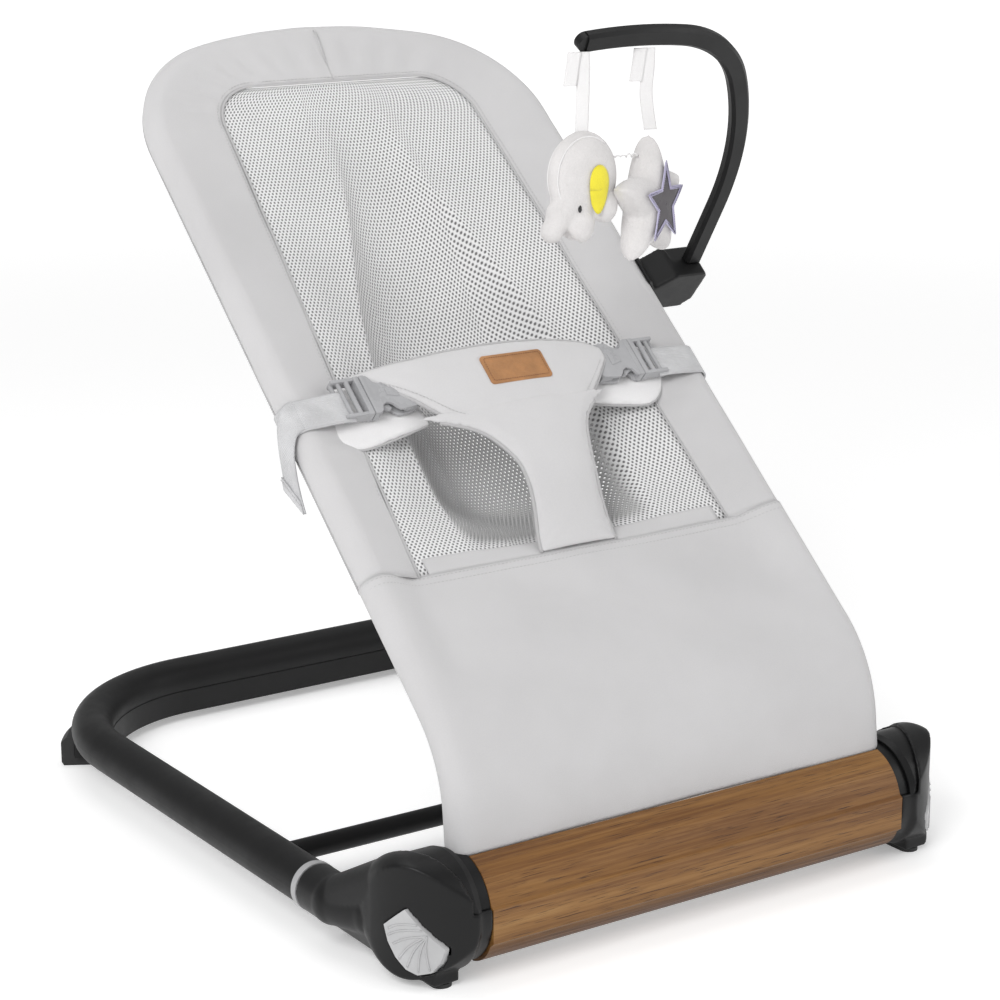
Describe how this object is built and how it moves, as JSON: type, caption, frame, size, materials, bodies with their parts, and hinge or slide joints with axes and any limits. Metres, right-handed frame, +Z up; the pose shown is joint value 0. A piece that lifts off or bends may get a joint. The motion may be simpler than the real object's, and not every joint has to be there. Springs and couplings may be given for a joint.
{
  "type": "baby bouncer seat",
  "caption": "Reclining baby bouncer with a mesh hammock seat on a bent tube frame, a low U-shaped base with a wooden front bar, a waist harness and a toy arm.",
  "frame": {"origin": "on the floor under the middle of the whole object at rest", "axes": "+X across the seat to the side of the toy arm, +Y from the wooden front bar to the rear tube, +Z up"},
  "size_m": [0.5186, 0.6253, 0.6188],
  "materials": {
    "base_tube": "matte black powder coat",
    "collar_grey": "light grey moulded",
    "hub_plastic": "matte black moulded, fine grain",
    "inner_steel": "zinc plated",
    "bush_plastic": "natural acetal",
    "wood": "oiled oak veneer, grain along the bar",
    "foot_rubber": "matte",
    "button_grey": "light grey moulded",
    "seat_tube": "matte black powder coat",
    "seat_cloth": "light grey woven cotton",
    "air_mesh": "light grey open air mesh",
    "harness_cloth": "light grey padded cotton with piping",
    "label_leather": "tan, stitched, blank",
    "webbing": "light grey woven webbing",
    "buckle_plastic": "light grey moulded",
    "clip_plastic": "matte black moulded",
    "arm_plastic": "matte black moulded",
    "toy_plush": "off-white plush",
    "star_print": "dark printed patch with a pale border",
    "toy_tape": "white woven tape"
  },
  "bodies": {
    "base": {"side_tube_l": "base_tube", "side_tube_r": "base_tube", "rear_tube": "base_tube", "collar_ring_l": "collar_grey", "collar_ring_r": "collar_grey", "cross_rod": "base_tube", "hub_outer_shell_l": "hub_plastic", "hub_outer_shell_r": "hub_plastic", "hub_inner_shell_l": "hub_plastic", "hub_inner_shell_r": "hub_plastic", "pivot_tube": "inner_steel", "wood_bar": "wood", "wood_bar_backing": "hub_plastic", "rear_shoe": "hub_plastic", "rear_foot_l": "foot_rubber", "rear_foot_r": "foot_rubber", "front_foot_l": "foot_rubber", "front_foot_r": "foot_rubber", "hub_screws": "inner_steel", "button_spring_l": "inner_steel", "button_spring_r": "inner_steel"},
    "seat": {"pivot_bush_l": "bush_plastic", "pivot_bush_r": "bush_plastic", "seat_drum_l": "hub_plastic", "seat_drum_r": "hub_plastic", "lock_plate_l": "inner_steel", "lock_plate_r": "inner_steel", "lower_cross_tube": "seat_tube", "seat_rail_l": "seat_tube", "seat_rail_r": "seat_tube", "head_hoop": "seat_tube", "front_panel": "seat_cloth", "mesh_panel": "air_mesh", "seat_border": "seat_cloth", "waist_pad": "harness_cloth", "crotch_strip": "harness_cloth", "maker_patch": "label_leather", "bolster_l": "harness_cloth", "bolster_r": "harness_cloth", "webbing_l": "webbing", "webbing_r": "webbing", "webbing_tail_l": "webbing", "buckle_socket_l": "buckle_plastic", "buckle_socket_r": "buckle_plastic", "arm_clip": "clip_plastic"},
    "button_l": {"release_button_l": "button_grey"},
    "button_r": {"release_button_r": "button_grey"},
    "plug_l": {"buckle_plug_l": "buckle_plastic"},
    "plug_r": {"buckle_plug_r": "buckle_plastic"},
    "arm": {"toy_arm": "arm_plastic"},
    "toy_elephant": {"elephant": "toy_plush", "elephant_tape": "toy_tape"},
    "toy_star": {"star": "toy_plush", "star_patch": "star_print", "star_tape": "toy_tape", "toy_link": "toy_tape"}
  },
  "joints": [
    {"name": "seat_recline", "type": "hinge", "parent": "base", "child": "seat", "pos_m": [0, -0.2695, 0.048], "axis": [-1, 0, 0], "range_deg": [0, 42]},
    {"name": "release_button_l_press", "type": "slide", "parent": "base", "child": "button_l", "axis": [1, 0, 0], "range_m": [0, 0.004], "stiffness_N_per_m": 800, "springref_m": -0.001},
    {"name": "release_button_r_press", "type": "slide", "parent": "base", "child": "button_r", "axis": [-1, 0, 0], "range_m": [0, 0.004], "stiffness_N_per_m": 800, "springref_m": -0.001},
    {"name": "buckle_l_part", "type": "slide", "parent": "seat", "child": "plug_l", "axis": [-1, 0, 0], "range_m": [0, 0.018]},
    {"name": "buckle_r_part", "type": "slide", "parent": "seat", "child": "plug_r", "axis": [1, 0, 0], "range_m": [0, 0.018]},
    {"name": "toy_arm_pull", "type": "slide", "parent": "seat", "child": "arm", "axis": [0, -0.5299, 0.848], "range_m": [0, 0.028]},
    {"name": "elephant_swing", "type": "hinge", "parent": "arm", "child": "toy_elephant", "pos_m": [0.031, -0.10675, 0.60973], "axis": [1, 0, 0], "range_deg": [-40, 40]},
    {"name": "star_swing", "type": "hinge", "parent": "arm", "child": "toy_star", "pos_m": [0.091, -0.10675, 0.60973], "axis": [1, 0, 0], "range_deg": [-40, 40]}
  ],
  "couplings": [
    {"joint": "star_swing", "follows": "elephant_swing", "ratio": 1}
  ]
}
